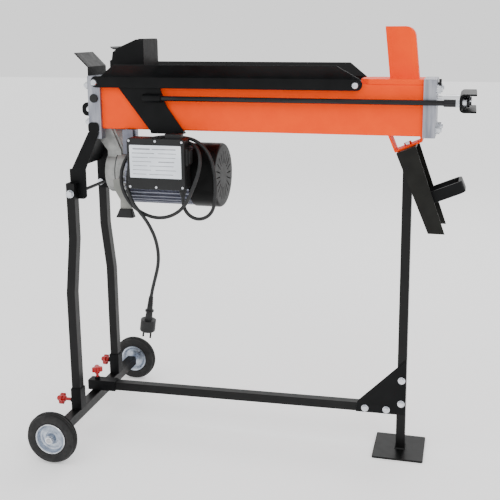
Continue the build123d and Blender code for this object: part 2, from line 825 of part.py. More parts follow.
# --- Strap bracket, support leg and carry handle ---
strap_slope = Vector(62.0, 0, 27.0).normalized()
strap_low = Vector(337.0, 0, 752.0)
strap_thick = 4.15
with BuildPart() as strap_bracket:
    with BuildSketch(Plane.XZ.offset(-27.0)):
        with BuildLine():
            Polyline((319.5, beam_bottom), (337.0, 752.0), (399.0, 779.0), (397.0, beam_bottom), close=True)
        make_face()
        with BuildLine():
            Polyline((324.0, beam_bottom), (339.2, 757.4), (394.7, 781.6), (393.0, beam_bottom), close=True)
        make_face(mode=Mode.SUBTRACT)
    extrude(amount=54.0)
    with BuildSketch(Plane(strap_low + strap_slope * 33.0, z_dir=(-strap_slope.Z, 0, strap_slope.X))):
        Circle(5.1)
    extrude(amount=8.0, both=True, mode=Mode.SUBTRACT)
finish(strap_bracket, "strap_bracket")

leg_angle = 22.6
leg_down = Vector(sin(radians(leg_angle)), 0, -cos(radians(leg_angle)))
leg_out = Vector(cos(radians(leg_angle)), 0, sin(radians(leg_angle)))
leg_corner = strap_low + strap_slope * 6.0
leg_cheek = 55.0
leg_top_plate = 4.2
hollow_top = leg_corner + leg_out * sheet + leg_down * leg_top_plate
hollow_low = hollow_top + leg_down * 220.0
hollow = (hollow_top, hollow_top + strap_slope * 60.0, hollow_low + leg_out * 120.0, hollow_low)
with BuildPart() as support_leg:
    with BuildSketch(Plane.XZ.offset(-leg_cheek)):
        with BuildLine():
            Polyline(
                (leg_corner.X, leg_corner.Z),
                (leg_corner.X + 47.0 * strap_slope.X, leg_corner.Z + 47.0 * strap_slope.Z),
                (457.0, 571.0),
                (leg_corner.X + 184.0 * tan(radians(leg_angle)), 571.0),
                close=True,
            )
        make_face()
    extrude(amount=2 * leg_cheek)
    with BuildSketch(Plane.XZ.offset(-leg_cheek + sheet)):
        with BuildLine():
            Polyline(*[(point.X, point.Z) for point in hollow], close=True)
        make_face()
    extrude(amount=2 * (leg_cheek - sheet), mode=Mode.SUBTRACT)
    with BuildSketch(Plane.XY.offset(650.0)):
        with Locations((post_x, 0)):
            Rectangle(tube_size + 1.0, tube_size + 1.0)
    extrude(amount=post_top_z - 650.0 + 0.5, mode=Mode.SUBTRACT)
    with BuildSketch(Plane(strap_low + strap_slope * 33.0, z_dir=(-strap_slope.Z, 0, strap_slope.X))):
        Circle(5.1)
    extrude(amount=8.0, both=True, mode=Mode.SUBTRACT)
    with BuildSketch(Plane.XZ.offset(-leg_cheek)):
        with Locations((post_x, leg_pin_z)):
            Circle(4.1)
    extrude(amount=2 * leg_cheek, mode=Mode.SUBTRACT)
finish(support_leg, "support_leg")

handle_origin = leg_corner + leg_down * 126.0
with BuildPart() as carry_handle:
    with BuildSketch(Plane(handle_origin + leg_down * 13.5, x_dir=leg_out, z_dir=-leg_down)):
        with Locations((58.1, 0)):
            Rectangle(110.0, 78.0)
        with Locations((52.0, 0)):
            Rectangle(106.0, 62.0, mode=Mode.SUBTRACT)
    extrude(amount=27.0)
    outer_edges = carry_handle.edges().filter_by(lambda edge: abs(abs(edge.center().Y) - 39.0) < 0.1)
    outer_edges = outer_edges.filter_by(lambda edge: abs(edge.length - 27.0) < 0.1)
    fillet(outer_edges.sort_by(Axis.X)[-2:], 16.0)
finish(carry_handle, "carry_handle")

with BuildPart() as frame_bolts:
    bolt_seat = Plane(strap_low + strap_slope * 33.0, z_dir=(-strap_slope.Z, 0, strap_slope.X))
    with BuildSketch(bolt_seat.offset(strap_thick)):
        RegularPolygon(9.2, 6)
    extrude(amount=7.0)
    with BuildSketch(bolt_seat.offset(strap_thick)):
        Circle(5.0)
    extrude(amount=-strap_thick - leg_top_plate - 0.1)
    with BuildSketch(bolt_seat.offset(-leg_top_plate - 0.1)):
        RegularPolygon(9.2, 6)
    extrude(amount=-6.0)
    with BuildSketch(Plane.XZ.offset(-leg_cheek)):
        with Locations((post_x, leg_pin_z)):
            Circle(4.0)
    extrude(amount=2 * leg_cheek)
finish(frame_bolts, "frame_bolts")

# --- Pump casting with its gears and valve spool ---
gear_left = -345.0
pocket_radius = gear_pitch_radius + 3.3
idler_y = 2 * gear_pitch_radius
spool_y = -33.0
spool_z = 655.0
lever_y = -72.0
lever_x = -334.0
lever_z = 662.0
casting_z = motor_z + 3.0
arm_half = 38.0
with BuildPart() as pump_casting:
    with BuildSketch(Plane.YZ.offset(casting_left)):
        with Locations((0, casting_z)):
            Circle(casting_radius)
    extrude(amount=drum_length)
    with BuildSketch(Plane.YZ.offset(casting_left + drum_length)):
        with Locations((0, casting_z)):
            Circle(casting_radius + 3.0)
    extrude(amount=motor_left - casting_left - drum_length)
    with BuildSketch(Plane.XZ.offset(-arm_half)):
        with BuildLine():
            Polyline(
                (-398.0, left_head_bottom),
                (beam_left, left_head_bottom),
                (beam_left, beam_bottom),
                (-362.0, beam_bottom),
                (-338.0, 738.0),
                (-338.0, 700.0),
                (casting_left + 2.0, 700.0),
                (casting_left + 2.0, 738.0),
                close=True,
            )
        make_face()
    extrude(amount=2 * arm_half)
    for side in (-1, 1):
        with BuildSketch(Plane.XZ.offset(side * (arm_half - 10.0) + 5.0)):
            with BuildLine():
                Polyline(
                    (-376.0, 770.0),
                    (-366.0, beam_bottom),
                    (-356.0, beam_bottom),
                    (-332.0, 738.0),
                    (-332.0, 725.0),
                    (-352.0, 725.0),
                    close=True,
                )
            make_face()
        extrude(amount=-10.0)
    with BuildSketch(Plane.YZ.offset(motor_left)):
        with Locations((0, motor_z), (idler_y, motor_z)):
            Circle(pocket_radius)
        with Locations((spool_y, spool_z)):
            Circle(4.05)
    extrude(amount=gear_left - motor_left - 0.5, mode=Mode.SUBTRACT)
    with BuildSketch(Plane.YZ.offset(gear_left)):
        with Locations((0, motor_z)):
            Circle(shaft_radius + running_gap)
        with Locations((idler_y, motor_z)):
            Circle(5.0 + running_gap)
        with Locations((spool_y, spool_z)):
            Circle(4.05)
    extrude(amount=-20.0, mode=Mode.SUBTRACT)
    with BuildSketch(Plane.XZ.offset(casting_radius + 5.0)):
        with Locations((lever_x, lever_z)):
            Circle(5.05)
    extrude(amount=-22.0, mode=Mode.SUBTRACT)
finish(pump_casting, "pump_casting")

tooth_step = 360 / gear_teeth
for name, gear_y, bore, turn in (
    ("drive_gear", 0.0, shaft_radius + 0.02, 0.0),
    ("idler_gear", idler_y, 0.0, tooth_step / 2),
):
    with BuildPart() as gear:
        with BuildSketch(Plane.YZ.offset(gear_left)):
            with Locations((gear_y, motor_z)):
                Circle(gear_pitch_radius - 3.4)
                with PolarLocations(gear_pitch_radius - 0.6, gear_teeth, start_angle=turn):
                    Trapezoid(4.6, 6.4, 77.0, rotation=-90)
                if bore > 0:
                    Circle(bore, mode=Mode.SUBTRACT)
        extrude(amount=gear_width)
        if bore == 0:
            with BuildSketch(Plane.YZ.offset(gear_left - 10.0)):
                with Locations((gear_y, motor_z)):
                    Circle(5.0)
            extrude(amount=gear_width + 14.0)
    finish(gear, name)

with BuildPart() as valve_spool:
    with BuildSketch(Plane.YZ.offset(gear_left - 13.0)):
        with Locations((spool_y, spool_z)):
            Circle(4.0)
    extrude(amount=32.0)
finish(valve_spool, "valve_spool")

# --- Control lever ---
with BuildPart() as control_lever:
    with BuildSketch(Plane.XZ.offset(-lever_y)):
        with BuildLine():
            Polyline(
                (lever_x - 11.0, lever_z + 10.0),
                (lever_x + 8.0, lever_z + 14.0),
                (lever_x + 14.0, lever_z - 10.0),
                (-304.0, 632.0),
                (-299.0, 600.0),
                (-329.0, 600.0),
                (-328.0, 622.0),
                (lever_x - 9.0, lever_z - 14.0),
                close=True,
            )
        make_face()
    extrude(amount=5.0)
    with BuildSketch(Plane.XZ.offset(-lever_y)):
        with Locations((lever_x, lever_z)):
            Circle(5.0)
    extrude(amount=-32.0)
finish(control_lever, "control_lever")

with BuildPart() as lever_grip:
    with BuildSketch(Plane((-314.0, lever_y - 2.5, 599.9))):
        RectangleRounded(32.0, 14.0, 4.0)
    with BuildSketch(Plane((-316.0, lever_y - 2.5, 579.0))):
        RectangleRounded(46.0, 22.0, 5.0)
    loft()
finish(lever_grip, "lever_grip")

# --- Motor: finned housing, stator, rotor, fan and cover ---
housing_inner = 62.0
rib_count = 36
end_plate = 6.0
fan_left = motor_right + 10.0
stator_left = -295.0
stator_right = -190.0
stator_inner = 41.0
with BuildPart() as motor_housing:
    with BuildSketch(Plane.YZ.offset(motor_left)):
        with Locations((0, motor_z)):
            Circle(housing_inner + 6.0)
            with PolarLocations(motor_radius - 5.5, rib_count):
                Rectangle(11.0, 3.0)
    extrude(amount=motor_right - motor_left)
    with BuildSketch(Plane.XZ.offset(-box_back)):
        with Locations((-215.0, motor_z)):
            Rectangle(80.0, 24.0)
    extrude(amount=-16.0)
    with BuildSketch(Plane.XY.offset(motor_z + 48.0)):
        with Locations((-303.0, -45.0)):
            Rectangle(26.0, 10.0)
        with Locations((-300.0, -49.0)):
            Rectangle(10.0, 6.0, mode=Mode.SUBTRACT)
    extrude(amount=beam_bottom - motor_z - 48.0)
    for end_x in (motor_left, motor_right - end_plate):
        with BuildSketch(Plane.YZ.offset(end_x)):
            with Locations((0, motor_z)):
                Circle(housing_inner + 6.0)
        extrude(amount=end_plate)
    with BuildSketch(Plane.YZ.offset(motor_left + end_plate)):
        with Locations((0, motor_z)):
            Circle(housing_inner)
    extrude(amount=motor_right - motor_left - 2 * end_plate, mode=Mode.SUBTRACT)
    with BuildSketch(Plane.YZ.offset(motor_left)):
        with Locations((0, motor_z)):
            Circle(shaft_radius + running_gap)
    extrude(amount=motor_right - motor_left, mode=Mode.SUBTRACT)
    with BuildSketch(Plane.YZ.offset(motor_left)):
        with Locations((idler_y, motor_z)):
            Circle(5.0 + running_gap)
    extrude(amount=end_plate, mode=Mode.SUBTRACT)
finish(motor_housing, "motor_housing")

with BuildPart() as stator:
    with BuildSketch(Plane.YZ.offset(stator_left)):
        with Locations((0, motor_z)):
            Circle(housing_inner)
            Circle(stator_inner, mode=Mode.SUBTRACT)
    extrude(amount=stator_right - stator_left)
finish(stator, "stator")

with BuildPart() as rotor:
    with BuildSketch(Plane.YZ.offset(gear_left - 12.0)):
        with Locations((0, motor_z)):
            Circle(shaft_radius)
    extrude(amount=fan_left + 20.0 - gear_left + 12.0)
    with BuildSketch(Plane.YZ.offset(stator_left + 2.0)):
        with Locations((0, motor_z)):
            Circle(stator_inner - 1.0)
    extrude(amount=stator_right - stator_left - 4.0)
finish(rotor, "rotor")

fan_blades = 8
with BuildPart() as fan:
    with BuildSketch(Plane.YZ.offset(fan_left)):
        with Locations((0, motor_z)):
            Circle(58.0)
            Circle(shaft_radius + 0.02, mode=Mode.SUBTRACT)
    extrude(amount=2.5)
    with BuildSketch(Plane.YZ.offset(fan_left + 2.5)):
        with Locations((0, motor_z)):
            Circle(14.0)
            with PolarLocations(40.0, fan_blades):
                Rectangle(50.0, 2.5)
            Circle(shaft_radius + 0.02, mode=Mode.SUBTRACT)
    extrude(amount=17.5)
finish(fan, "fan")

cover_wall = 2.5
grille_slots = 20
with BuildPart() as fan_cover:
    with BuildSketch(Plane.YZ.offset(motor_right)):
        with Locations((0, motor_z)):
            Circle(fan_cover_radius)
    extrude(amount=fan_cover_right - motor_right)
    fillet(fan_cover.faces().sort_by(Axis.X)[-1].edges(), 7.0)
    with BuildSketch(Plane.YZ.offset(motor_right + cover_wall)):
        with Locations((0, motor_z)):
            Circle(fan_cover_radius - cover_wall)
    extrude(amount=fan_cover_right - motor_right - 2 * cover_wall - 5.0, mode=Mode.SUBTRACT)
    with BuildSketch(Plane.YZ.offset(fan_cover_right - cover_wall - 5.0)):
        with Locations((0, motor_z)):
            Circle(fan_cover_radius - 10.0)
    extrude(amount=5.0, mode=Mode.SUBTRACT)
    with BuildSketch(Plane.YZ.offset(motor_right)):
        with Locations((0, motor_z)):
            Circle(housing_inner)
    extrude(amount=cover_wall, mode=Mode.SUBTRACT)
    with BuildSketch(Plane.YZ.offset(fan_cover_right)):
        with Locations((0, motor_z)):
            with PolarLocations(45.0, grille_slots):
                SlotOverall(30.0, 2.6)
    extrude(amount=-cover_wall, mode=Mode.SUBTRACT)
finish(fan_cover, "fan_cover")

# --- Switch box, lid and push button ---
box_mid_x = (box_left + box_right) / 2
box_mid_z = (box_bottom + box_top) / 2
lid_thick = 4.0
switch_y = -100.0
switch_z = 739.0
gland_x = -156.0
with BuildPart() as switch_box:
    with BuildSketch(Plane.XZ.offset(-box_back)):
        with Locations((box_mid_x, box_mid_z)):
            RectangleRounded(box_right - box_left, box_top - box_bottom, 7.0)
    extrude(amount=box_back - box_front - lid_thick)
    with BuildSketch(Plane.XZ.offset(-box_back + sheet)):
        with Locations((box_mid_x, box_mid_z)):
            RectangleRounded(box_right - box_left - 2 * sheet, box_top - box_bottom - 2 * sheet, 4.0)
    extrude(amount=box_back - box_front - lid_thick - sheet, mode=Mode.SUBTRACT)
    with BuildSketch(Plane.XY.offset(box_top - 1.0)):
        with Locations((-175.0, -98.0)):
            RectangleRounded(40.0, 24.0, 4.0)
    extrude(amount=11.0)
    with BuildSketch(Plane.YZ.offset(box_right - 0.5)):
        with Locations((switch_y, switch_z)):
            RectangleRounded(28.0, 42.0, 3.0)
    extrude(amount=6.5)
    with BuildSketch(Plane.YZ.offset(box_right + 6.0)):
        with Locations((switch_y, switch_z)):
            Rectangle(20.6, 32.6)
    extrude(amount=-6.0 - sheet, mode=Mode.SUBTRACT)
    with BuildSketch(Plane.XY.offset(box_bottom)):
        with Locations((gland_x, switch_y)):
            Circle(6.05)
    extrude(amount=sheet, mode=Mode.SUBTRACT)
finish(switch_box, "switch_box")

with BuildPart() as switch_lid:
    with BuildSketch(Plane.XZ.offset(-box_front - lid_thick)):
        with Locations((box_mid_x, box_mid_z)):
            RectangleRounded(box_right - box_left, box_top - box_bottom, 7.0)
    extrude(amount=lid_thick)
    chamfer(switch_lid.faces().sort_by(Axis.Y)[0].edges(), 1.2)
finish(switch_lid, "switch_lid")

with BuildPart() as push_button:
    with BuildSketch(Plane.YZ.offset(box_right - 2.0)):
        with Locations((switch_y, switch_z)):
            RectangleRounded(20.0, 32.0, 2.0)
    extrude(amount=12.0)
finish(push_button, "push_button")

with BuildPart() as cable_gland:
    gland_plane = Plane((gland_x, switch_y, box_bottom), z_dir=(0, 0, -1))
    with BuildSketch(gland_plane.offset(-sheet)):
        Circle(6.0)
    extrude(amount=sheet)
    with BuildSketch(gland_plane):
        RegularPolygon(10.0, 6)
    extrude(amount=6.0)
    with BuildSketch(gland_plane.offset(6.0)):
        Circle(8.5)
    extrude(amount=10.0, taper=14.0)
    with BuildSketch(gland_plane.offset(-sheet)):
        Circle(cord_radius)
    extrude(amount=16.0 + sheet, mode=Mode.SUBTRACT)
finish(cable_gland, "cable_gland")

# --- Cord: lead, hanging loops and tail, then the plug ---


def bend_radii(points):
    """Gives each corner a tangent arc that leaves a straight middle."""
    radii = []
    for corner in range(1, len(points) - 1):
        before = points[corner] - points[corner - 1]
        after = points[corner + 1] - points[corner]
        turn = radians(before.get_angle(after))
        radii.append(0.45 * min(before.length, after.length) / tan(turn / 2))
    return radii


coil_radius = 8.0
lead_length = 22.0
coil_points = [
    Vector(-200.0, -63.0, 771.0),
    Vector(-140.0, -65.0, 770.0),
    Vector(-104.0, -90.0, 730.0),
    Vector(-106.0, -100.0, 676.0),
    Vector(-140.0, -103.0, 626.0),
    Vector(-186.0, -104.0, 592.0),
    Vector(-238.0, -104.0, 592.0),
    Vector(-284.0, -102.0, 624.0),
    Vector(-307.0, -94.0, 678.0),
    Vector(-302.0, -74.0, 735.0),
    Vector(-260.0, -63.0, 764.0),
]
tail_points = [
    Vector(-216.0, -104.0, 586.0),
    Vector(-222.0, -103.0, 540.0),
    Vector(-222.0, -102.0, 490.0),
    Vector(-231.0, -101.0, 440.0),
    Vector(-245.0, -100.0, 396.0),
    Vector(-250.0, -100.0, 362.0),
]
coil_join = (coil_points[0] + coil_points[-1]) / 2
coil_split = (coil_points[5] + coil_points[6]) / 2
coil_halves = (
    [coil_join, *coil_points[:6], coil_split],
    [coil_split, *coil_points[6:], coil_join],
)
for name, runs, radius in (
    ("cord_coil", coil_halves, coil_radius),
    ("power_cord", (tail_points,), cord_radius),
):
    length = 0.0
    with BuildPart() as cord:
        for run in runs:
            radii = bend_radii(run)
            with BuildLine() as path:
                FilletPolyline(*run, radius=radii)
            with BuildSketch(path.line ^ 0):
                Circle(radius)
            sweep(path=path.line)
            length += sum(edge.length for edge in path.line.edges())
            print(name, "bends", [round(bend, 1) for bend in radii])
        if name == "power_cord":
            with BuildSketch(Plane((gland_x, switch_y, box_bottom - 16.0), z_dir=(0, 0, -1))):
                Circle(radius)
            extrude(amount=lead_length)
            length += lead_length
    print(name, "length", round(length, 1))
    print(name, "volume / expected", round(cord.part.volume / (pi * radius**2 * length), 4))
    finish(cord, name)

plug_axis = (tail_points[-1] - tail_points[-2]).normalized()
plug_top = tail_points[-1]
plug_length = 66.0
pin_length = 18.0
with BuildPart() as plug:
    with BuildSketch(Plane(plug_top, x_dir=(1, 0, 0), z_dir=plug_axis)):
        Circle(cord_radius + 2.5)
    with BuildSketch(Plane(plug_top + plug_axis * 36.0, x_dir=(1, 0, 0), z_dir=plug_axis)):
        Circle(9.5)
    loft()
    with BuildSketch(Plane(plug_top + plug_axis * 36.0, x_dir=(1, 0, 0), z_dir=plug_axis)):
        Circle(19.0)
    extrude(amount=plug_length - 36.0)
    chamfer(plug.faces().sort_by(Axis.Z)[0].edges(), 2.0)
    with BuildSketch(Plane(plug_top + plug_axis * plug_length, x_dir=(1, 0, 0), z_dir=plug_axis)):
        with GridLocations(19.0, 0, 2, 1):
            Circle(2.4)
    extrude(amount=pin_length)
finish(plug, "plug")
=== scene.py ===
import json
import math

import bmesh
import bpy
from mathutils import Matrix, Vector


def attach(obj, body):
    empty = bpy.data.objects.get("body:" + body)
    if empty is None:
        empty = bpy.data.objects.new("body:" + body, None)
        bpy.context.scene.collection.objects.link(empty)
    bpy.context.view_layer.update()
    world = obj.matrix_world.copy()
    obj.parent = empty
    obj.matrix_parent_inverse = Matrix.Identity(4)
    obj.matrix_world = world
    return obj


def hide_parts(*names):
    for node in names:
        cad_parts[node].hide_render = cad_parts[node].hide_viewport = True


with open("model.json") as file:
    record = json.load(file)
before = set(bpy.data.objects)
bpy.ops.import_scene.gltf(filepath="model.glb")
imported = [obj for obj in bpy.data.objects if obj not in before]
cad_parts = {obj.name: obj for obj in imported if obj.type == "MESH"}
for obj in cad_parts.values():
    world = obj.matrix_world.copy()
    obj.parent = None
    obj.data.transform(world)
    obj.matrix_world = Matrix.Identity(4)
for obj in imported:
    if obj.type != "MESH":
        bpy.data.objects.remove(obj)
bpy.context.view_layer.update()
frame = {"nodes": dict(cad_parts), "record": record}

MM = 0.001
nodes = frame["nodes"]

# --- Camera: the photograph's viewing angle, place in metres and turns in degrees ---
CAM_PLACE = (0.501, -1.885, 1.030)
CAM_YAW, CAM_PITCH, CAM_ROLL = (math.radians(a) for a in (-13.22, 11.16, -0.19))
CAM_LENS = 58.19
CAM_SHIFT = (-0.06, -0.12)

ahead = Vector(
    (
        math.sin(CAM_YAW) * math.cos(CAM_PITCH),
        math.cos(CAM_YAW) * math.cos(CAM_PITCH),
        -math.sin(CAM_PITCH),
    )
)
across = Vector((math.cos(CAM_YAW), -math.sin(CAM_YAW), 0))
above = across.cross(ahead)
cam_right = across * math.cos(CAM_ROLL) + above * math.sin(CAM_ROLL)
cam_up = above * math.cos(CAM_ROLL) - across * math.sin(CAM_ROLL)
cam_data = bpy.data.cameras.new("photo_camera")
cam_data.lens = CAM_LENS
cam_data.sensor_width = 36.0
cam_data.shift_x, cam_data.shift_y = CAM_SHIFT
cam_data.clip_start, cam_data.clip_end = 0.05, 50.0
camera = bpy.data.objects.new("photo_camera", cam_data)
bpy.context.scene.collection.objects.link(camera)
camera.matrix_world = Matrix(
    (
        (cam_right.x, cam_up.x, -ahead.x, CAM_PLACE[0]),
        (cam_right.y, cam_up.y, -ahead.y, CAM_PLACE[1]),
        (cam_right.z, cam_up.z, -ahead.z, CAM_PLACE[2]),
        (0, 0, 0, 1),
    )
)
bpy.context.scene.camera = camera


# --- Materials ---
class Finish:
    """A material with small helpers for its noise, colour, roughness and bump."""

    def __init__(self, name, color, roughness, metallic=0.0, coat=0.0, coat_rough=0.15, specular=0.5):
        self.mat = bpy.data.materials.new(name)
        self.mat.use_nodes = True
        self.tree = self.mat.node_tree
        self.bsdf = self.tree.nodes["Principled BSDF"]
        self.bsdf.inputs["Base Color"].default_value = (*color, 1)
        self.bsdf.inputs["Roughness"].default_value = roughness
        self.bsdf.inputs["Metallic"].default_value = metallic
        self.bsdf.inputs["Coat Weight"].default_value = coat
        self.bsdf.inputs["Coat Roughness"].default_value = coat_rough
        self.bsdf.inputs["Specular IOR Level"].default_value = specular
        self.coords = self.tree.nodes.new("ShaderNodeTexCoord")
        self.normal = None

    def node(self, kind, **values):
        made = self.tree.nodes.new(kind)
        for key, value in values.items():
            if hasattr(made, key):
                setattr(made, key, value)
            else:
                made.inputs[key].default_value = value
        return made

    def link(self, source, target):
        self.tree.links.new(source, target)

    def noise(self, scale, detail=4.0, stretch=(1, 1, 1)):
        spread = self.node("ShaderNodeMapping", Scale=stretch)
        self.link(self.coords.outputs["Object"], spread.inputs["Vector"])
        made = self.node("ShaderNodeTexNoise", Scale=scale, Detail=detail)
        self.link(spread.outputs["Vector"], made.inputs["Vector"])
        return made.outputs["Fac"]

    def ramp(self, source, low, high, at=(0.35, 0.65)):
        made = self.node("ShaderNodeValToRGB")
        made.color_ramp.elements[0].position, made.color_ramp.elements[1].position = at
        made.color_ramp.elements[0].color = (*low, 1)
        made.color_ramp.elements[1].color = (*high, 1)
        self.link(source, made.inputs["Fac"])
        return made.outputs["Color"]

    def vary(self, source, low, high, at=(0.35, 0.65)):
        self.link(self.ramp(source, low, high, at), self.bsdf.inputs["Base Color"])
        return self

    def rough(self, source, low, high):
        span = self.node("ShaderNodeMapRange")
        span.inputs["From Min"].default_value = 0.3
        span.inputs["From Max"].default_value = 0.7
        span.inputs["To Min"].default_value = low
        span.inputs["To Max"].default_value = high
        self.link(source, span.inputs["Value"])
        self.link(span.outputs["Result"], self.bsdf.inputs["Roughness"])
        return self

    def bump(self, source, strength, distance):
        made = self.node("ShaderNodeBump", Strength=strength, Distance=distance)
        self.link(source, made.inputs["Height"])
        if self.normal is not None:
            self.link(self.normal, made.inputs["Normal"])
        self.normal = made.outputs["Normal"]
        self.link(self.normal, self.bsdf.inputs["Normal"])
        return self


def paint(name, dark, light, roughness, coat=0.3, specular=0.5):
    made = Finish(name, light, roughness, coat=coat, specular=specular)
    made.vary(made.noise(30.0, 3.0), dark, light)
    made.rough(made.noise(60.0, 4.0), roughness - 0.05, roughness + 0.06)
    made.bump(made.noise(420.0, 2.0), 0.10, 0.0003)
    return made


black = paint("satin_black_paint", (0.0034, 0.0037, 0.0040), (0.0052, 0.0055, 0.0060), 0.42, 0.0, 0.11)
leg_black = paint("leg_black_paint", (0.0030, 0.0031, 0.0032), (0.0046, 0.0047, 0.0048), 0.36, 0.04, 0.18)
cover_black = paint("gloss_black_paint", (0.0030, 0.0031, 0.0031), (0.0044, 0.0046, 0.0046), 0.34, 0.0, 0.07)
# Painted sheen: a lighter, olive-tinted copy of the black paint stands in for light falling on the support
# leg's black paint.
painted_sheen_black = paint("painted_sheen_black_paint", (0.0080, 0.0080, 0.0070), (0.0120, 0.0120, 0.0105), 0.42, 0.0, 0.12)
orange = paint("gloss_orange_paint", (0.96, 0.064, 0.0), (1.0, 0.072, 0.0), 0.45, 0.0, 0.05)
cast = Finish("cast_aluminium", (0.55, 0.56, 0.60), 0.42, metallic=0.75)
cast.vary(cast.noise(14.0, 5.0, (6, 6, 0.6)), (0.14, 0.15, 0.19), (0.42, 0.43, 0.47), (0.3, 0.7))
cast.rough(cast.noise(40.0, 5.0, (8, 8, 0.4)), 0.34, 0.55)
cast.bump(cast.noise(260.0, 5.0, (1, 1, 0.3)), 0.15, 0.0005)

rough_cast = Finish("rough_cast", (0.30, 0.31, 0.31), 0.50, metallic=0.7)
rough_cast.vary(rough_cast.noise(30.0, 5.0), (0.16, 0.165, 0.16), (0.34, 0.345, 0.335))
rough_cast.bump(rough_cast.noise(700.0, 4.0), 0.35, 0.0005)

zinc = Finish("bright_zinc", (0.66, 0.68, 0.72), 0.24, metallic=1.0)
zinc.vary(zinc.noise(120.0, 4.0), (0.52, 0.54, 0.58), (0.74, 0.76, 0.80))
zinc.rough(zinc.noise(200.0, 4.0), 0.18, 0.34)
zinc.bump(zinc.noise(900.0, 3.0), 0.08, 0.0003)

blue_zinc = Finish("blue_zinc", (0.42, 0.47, 0.55), 0.30, metallic=0.9)
blue_zinc.vary(blue_zinc.noise(45.0, 4.0), (0.25, 0.29, 0.36), (0.52, 0.57, 0.65))
blue_zinc.rough(blue_zinc.noise(150.0, 4.0), 0.22, 0.42)
blue_zinc.bump(blue_zinc.noise(600.0, 3.0), 0.1, 0.0003)

chrome = Finish("hard_chrome", (0.78, 0.79, 0.81), 0.10, metallic=1.0)
chrome.vary(chrome.noise(30.0, 4.0, (0.4, 6, 6)), (0.68, 0.69, 0.72), (0.84, 0.85, 0.87))
chrome.rough(chrome.noise(90.0, 4.0, (0.3, 6, 6)), 0.07, 0.18)

steel = Finish("machined_steel", (0.45, 0.46, 0.48), 0.32, metallic=0.95)
steel.vary(steel.noise(60.0, 5.0, (0.5, 4, 4)), (0.34, 0.35, 0.37), (0.54, 0.55, 0.57))
steel.rough(steel.noise(120.0, 4.0), 0.25, 0.42)

dark_steel = Finish("dark_rod_steel", (0.010, 0.010, 0.011), 0.34, metallic=0.3, specular=0.3)
dark_steel.vary(dark_steel.noise(50.0, 4.0, (0.3, 4, 4)), (0.006, 0.006, 0.007), (0.016, 0.016, 0.018))
dark_steel.rough(dark_steel.noise(90.0, 4.0), 0.22, 0.40)

rubber = Finish("tyre_rubber", (0.010, 0.010, 0.0105), 0.55, specular=0.3)
rubber.vary(rubber.noise(50.0, 5.0), (0.007, 0.007, 0.0075), (0.014, 0.0138, 0.0135))
rubber.rough(rubber.noise(120.0, 4.0), 0.42, 0.7)
rubber.bump(rubber.noise(900.0, 3.0), 0.25, 0.0004)

plastic = Finish("moulded_black_plastic", (0.006, 0.0065, 0.007), 0.45, specular=0.32)
plastic.vary(plastic.noise(25.0, 3.0), (0.0048, 0.0052, 0.0056), (0.0076, 0.0082, 0.0088))
plastic.rough(plastic.noise(300.0, 3.0), 0.36, 0.55)
plastic.bump(plastic.noise(1500.0, 2.0), 0.25, 0.0003)

sheath = Finish("cord_sheath", (0.010, 0.0105, 0.0115), 0.50, specular=0.35)
sheath.vary(sheath.noise(80.0, 3.0), (0.008, 0.0085, 0.009), (0.014, 0.0145, 0.0155))
sheath.rough(sheath.noise(300.0, 3.0), 0.40, 0.62)
sheath.bump(sheath.noise(1200.0, 2.0), 0.2, 0.0003)

red = Finish("glossy_red_plastic", (0.40, 0.003, 0.004), 0.24, coat=0.3, coat_rough=0.10, specular=0.3)
red.vary(red.noise(50.0, 3.0), (0.34, 0.002, 0.003), (0.44, 0.004, 0.005))
red.rough(red.noise(200.0, 3.0), 0.16, 0.30)

grey = paint("satin_grey_paint", (0.16, 0.165, 0.15), (0.24, 0.24, 0.22), 0.45, 0.1)
slate = paint("slate_grey_paint", (0.10, 0.105, 0.14), (0.16, 0.165, 0.21), 0.40, 0.10)
bare = Finish("bare_aluminium", (0.30, 0.31, 0.36), 0.42, metallic=0.8)
bare.vary(bare.noise(60.0, 4.0, (0.4, 3, 3)), (0.20, 0.21, 0.26), (0.36, 0.37, 0.43))
bare.rough(bare.noise(120.0, 4.0), 0.32, 0.52)
bare.bump(bare.noise(500.0, 3.0), 0.15, 0.0003)
copper = Finish("copper_winding", (0.55, 0.24, 0.10), 0.40, metallic=0.8)
copper.vary(copper.noise(200.0, 3.0, (1, 6, 6)), (0.40, 0.17, 0.07), (0.66, 0.30, 0.13))
plate = Finish("rating_plate", (0.62, 0.64, 0.67), 0.40, metallic=0.15)
plate.vary(plate.noise(18.0, 3.0), (0.72, 0.76, 0.82), (0.82, 0.86, 0.92))
print_ink = Finish("plate_print", (0.24, 0.25, 0.28), 0.5)
print_ink.vary(print_ink.noise(90.0, 3.0), (0.20, 0.21, 0.24), (0.32, 0.33, 0.36))

# --- Mesh helpers ---
def tidy_mesh(mesh, flat_angle=0.6):
    """Welds a mesh's split corners and joins its coplanar triangles."""
    work = bmesh.new()
    work.from_mesh(mesh)
    bmesh.ops.remove_doubles(work, verts=work.verts, dist=2e-6)
    bmesh.ops.dissolve_limit(
        work, angle_limit=math.radians(flat_angle), verts=work.verts, edges=work.edges
    )
    work.to_mesh(mesh)
    work.free()


def smooth(obj, angle=32.0):
    obj.data.polygons.foreach_set("use_smooth", [True] * len(obj.data.polygons))
    work = bmesh.new()
    work.from_mesh(obj.data)
    for edge in work.edges:
        edge.smooth = len(edge.link_faces) == 2 and edge.calc_face_angle(0.0) < math.radians(angle)
    work.to_mesh(obj.data)
    work.free()


def place(obj, finish, body, stands_for=()):
    """Gives a piece its finish and lets it ride on its body."""
    obj.data.materials.clear()
    obj.data.materials.append(finish.mat)
    if obj.name not in bpy.context.scene.collection.objects:
        bpy.context.scene.collection.objects.link(obj)
    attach(obj, body)
    if stands_for:
        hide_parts(*stands_for)
    return obj


NODE_BODY = {n: b for b, ns in frame["record"]["behaviour"]["bodies"].items() for n in ns}


